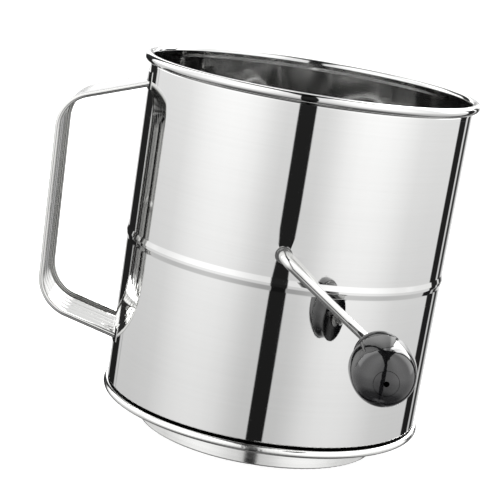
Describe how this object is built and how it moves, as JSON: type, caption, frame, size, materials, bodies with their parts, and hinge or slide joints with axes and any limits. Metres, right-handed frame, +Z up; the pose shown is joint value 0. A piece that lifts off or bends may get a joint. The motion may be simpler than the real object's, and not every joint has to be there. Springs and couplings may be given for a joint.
{
  "type": "hand-crank flour sifter",
  "caption": "Cylindrical sheet-steel kitchen sifter with a strap handle, a bent wire crank with a turning knob, wire agitator hoops and a dished screen over a round outlet.",
  "frame": {"origin": "centre of the discharge collar's lower face, on the can's axis", "axes": "+Z up along the can's axis; the crank and knob are on the -Y side; the handle is on the -X side"},
  "size_m": [0.1604, 0.1783, 0.1435],
  "materials": {
    "body_steel": "mirror polished with fine hoop-wise brush lines",
    "base_steel": "polished outside, duller inside",
    "ring_steel": "satin",
    "screen_steel": "woven wire, satin",
    "handle_steel": "mirror polished along the strap",
    "wire_steel": "drawn wire, bright",
    "crank_steel": "bright polished wire",
    "fitting_steel": "bright stamped fittings",
    "knob_plastic": "glossy moulded black"
  },
  "bodies": {
    "can": {"body_shell": "body_steel", "rim_wire": "wire_steel", "base_funnel": "base_steel", "screen_seat_ring": "ring_steel", "screen_mesh": "screen_steel", "screen_clamp_ring": "ring_steel", "handle_strap": "handle_steel", "front_bushing": "fitting_steel", "rear_bushing": "fitting_steel"},
    "crank": {"crank_rod": "crank_steel", "front_thrust_washer": "fitting_steel", "rear_thrust_washer": "fitting_steel", "front_shaft_collar": "fitting_steel", "rear_shaft_collar": "fitting_steel", "shaft_end_cap": "fitting_steel", "front_agitator_hub": "fitting_steel", "rear_agitator_hub": "fitting_steel", "agitator_hoop_1": "wire_steel", "agitator_hoop_2": "wire_steel", "agitator_hoop_3": "wire_steel", "agitator_hoop_4": "wire_steel", "knob_push_nut": "fitting_steel", "knob_stop_washer": "fitting_steel"},
    "knob": {"knob_shell": "knob_plastic", "knob_back_cup": "knob_plastic", "knob_end_cap": "knob_plastic"}
  },
  "joints": [
    {"name": "crank_turn", "type": "hinge", "parent": "can", "child": "crank", "pos_m": [0, 0, 0.085], "axis": [0, -1, 0], "continuous": true},
    {"name": "knob_spin", "type": "hinge", "parent": "crank", "child": "knob", "pos_m": [0.03959, -0.09195, 0.0576], "axis": [0.0628, -0.9979, -0.0175], "continuous": true}
  ]
}
